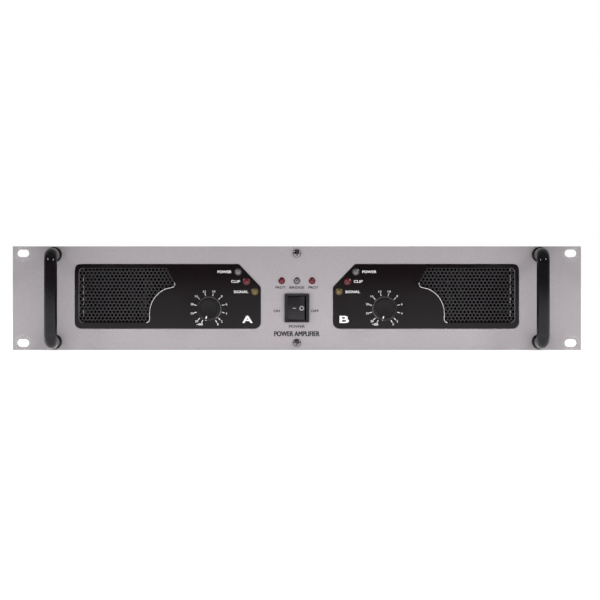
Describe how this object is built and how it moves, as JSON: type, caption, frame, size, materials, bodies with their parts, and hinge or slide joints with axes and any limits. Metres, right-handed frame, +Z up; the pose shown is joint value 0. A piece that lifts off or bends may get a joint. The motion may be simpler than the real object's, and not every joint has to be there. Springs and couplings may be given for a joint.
{
  "type": "rack power amplifier",
  "caption": "Rack-mount stereo power amplifier: silver front plate with handles, black insets with level knobs and air grilles, steel case with rear fan.",
  "frame": {"origin": "under the middle of the whole object's box, on the surface that the case rests on", "axes": "+X to the right seen from the front, along the front panel; +Y to the rear; +Z up. The front panel and handles face -Y"},
  "size_m": [0.4826, 0.4325, 0.0881],
  "materials": {
    "silver_paint": "satin warm-grey paint",
    "black_gloss": "gloss",
    "black_moulding": "fine moulded texture",
    "grille_steel": "perforated, dark grey paint",
    "handle_black": "semi-gloss black",
    "black_steel": "satin black powder coat",
    "plated_steel": "bright plating",
    "bare_aluminium": "mill finish",
    "black_anodising": "black anodised",
    "board_green": "solder mask",
    "winding_wrap": "wrapped in film tape",
    "capacitor_sleeve": "shrink sleeve",
    "clear_lens": "diffused clear",
    "red_lens": "diffused red",
    "yellow_lens": "diffused yellow"
  },
  "bodies": {
    "case": {"front_panel": "silver_paint", "inset_left": "black_gloss", "inset_right": "black_gloss", "grille_left": "grille_steel", "grille_right": "grille_steel", "handle_left": "handle_black", "handle_right": "handle_black", "handle_screw_1": "plated_steel", "handle_screw_2": "plated_steel", "handle_screw_3": "plated_steel", "handle_screw_4": "plated_steel", "panel_screw_top": "plated_steel", "panel_screw_bottom": "plated_steel", "level_pot_a": "plated_steel", "level_pot_b": "plated_steel", "transformer_clamp": "plated_steel", "fan_guard": "plated_steel", "mode_switch_body": "plated_steel", "power_switch_body": "black_moulding", "rectifier": "black_moulding", "fan_frame": "black_moulding", "mains_inlet": "black_moulding", "breaker_body": "black_moulding", "speaker_socket_a": "black_moulding", "speaker_socket_b": "black_moulding", "input_jack_a": "black_moulding", "input_jack_b": "black_moulding", "heatsink_left": "black_anodising", "heatsink_right": "black_anodising", "control_board": "board_green", "output_board_left": "board_green", "output_board_right": "board_green", "supply_board": "board_green", "input_board": "board_green", "chassis_tray": "black_steel", "top_cover": "black_steel", "rear_panel": "black_steel", "transformer": "winding_wrap", "filter_cap_1": "capacitor_sleeve", "filter_cap_2": "capacitor_sleeve", "filter_cap_3": "capacitor_sleeve", "filter_cap_4": "capacitor_sleeve", "power_led_a": "clear_lens", "power_led_b": "clear_lens", "bridge_led": "clear_lens", "clip_led_a": "red_lens", "clip_led_b": "red_lens", "prot_led_a": "red_lens", "prot_led_b": "red_lens", "signal_led_a": "yellow_lens", "signal_led_b": "yellow_lens"},
    "level_a": {"level_knob_a": "black_moulding", "level_shaft_a": "bare_aluminium"},
    "level_b": {"level_knob_b": "black_moulding", "level_shaft_b": "bare_aluminium"},
    "rocker": {"power_rocker": "black_moulding"},
    "rotor": {"fan_rotor": "black_moulding"},
    "button": {"breaker_button": "red_lens"},
    "slider": {"mode_switch_slider": "black_moulding"}
  },
  "joints": [
    {"name": "level_a_turn", "type": "hinge", "parent": "case", "child": "level_a", "pos_m": [-0.0745, -0.18575, 0.03505], "axis": [0, 1, 0], "range_deg": [0, 300]},
    {"name": "level_b_turn", "type": "hinge", "parent": "case", "child": "level_b", "pos_m": [0.0745, -0.18575, 0.03505], "axis": [0, 1, 0], "range_deg": [0, 300]},
    {"name": "power_rock", "type": "hinge", "parent": "case", "child": "rocker", "pos_m": [0, -0.17515, 0.03555], "axis": [0, 0, 1], "range_deg": [0, 16]},
    {"name": "fan_spin", "type": "hinge", "parent": "case", "child": "rotor", "pos_m": [0, 0.19395, 0.0435], "axis": [0, 1, 0], "continuous": true},
    {"name": "breaker_push", "type": "slide", "parent": "case", "child": "button", "axis": [0, -1, 0], "range_m": [0, 0.0025], "stiffness_N_per_m": 600, "springref_m": -0.002},
    {"name": "mode_slide", "type": "slide", "parent": "case", "child": "slider", "axis": [-1, 0, 0], "range_m": [0, 0.004]}
  ]
}
